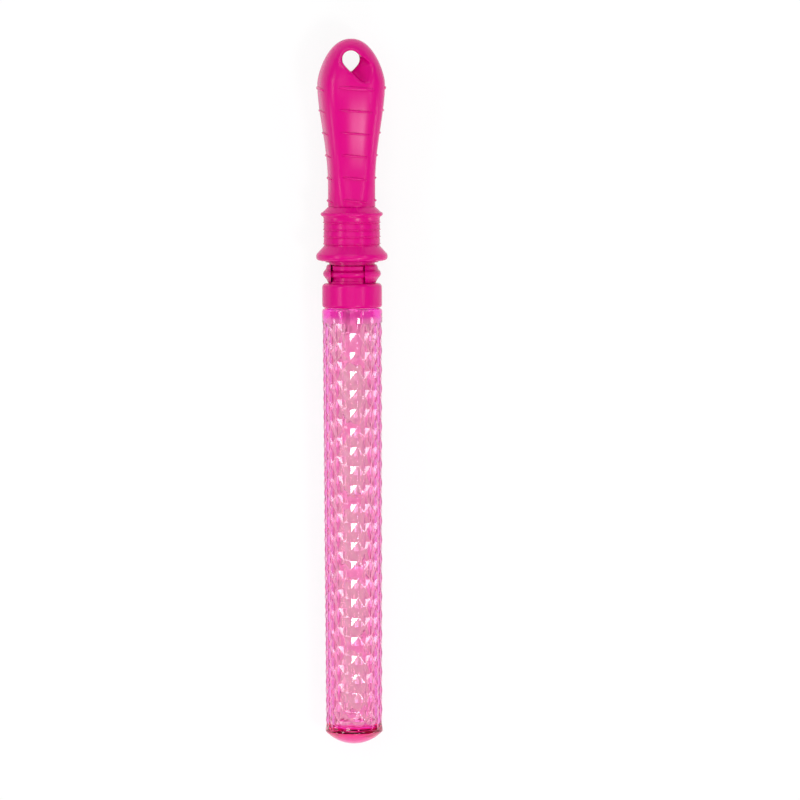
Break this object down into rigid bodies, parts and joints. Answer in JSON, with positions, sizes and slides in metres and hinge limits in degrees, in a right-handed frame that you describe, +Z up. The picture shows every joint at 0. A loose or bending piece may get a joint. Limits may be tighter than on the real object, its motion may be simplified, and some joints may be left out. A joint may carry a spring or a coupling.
{
  "type": "bubble wand",
  "caption": "Tube of bubble mixture with a diamond-faceted skin, closed by a screw cap whose grip draws out a long frame of bubble loops.",
  "frame": {"origin": "middle of the bounding box at the level of the table the wand lies on", "axes": "+X runs from the tube's domed end towards the grip, +Z up from the table; the hanging hole faces up"},
  "size_m": [0.37, 0.0374, 0.0382],
  "materials": {
    "clear_pink": "tinted clear plastic, moulded with diamond facets",
    "white_foam": "soft closed foam",
    "magenta": "opaque, satin gloss, as moulded",
    "pale_pink": "as moulded"
  },
  "bodies": {
    "bottle": {"tube": "clear_pink"},
    "washer": {"neck_seal": "white_foam"},
    "wand": {"screw_cap": "magenta", "lock_ring": "magenta", "guard_collar": "magenta", "grip": "magenta", "wand_stem": "pale_pink", "bubble_frame": "pale_pink"}
  },
  "joints": [
    {"name": "cap_turn", "type": "hinge", "parent": "bottle", "child": "washer", "pos_m": [0.0546, 0, 0.01846], "axis": [0.9999, 0, 0.0148], "range_deg": [0, 540]},
    {"name": "wand_draw", "type": "slide", "parent": "washer", "child": "wand", "axis": [0.9999, 0, 0.0148], "range_m": [0, 0.24]}
  ]
}
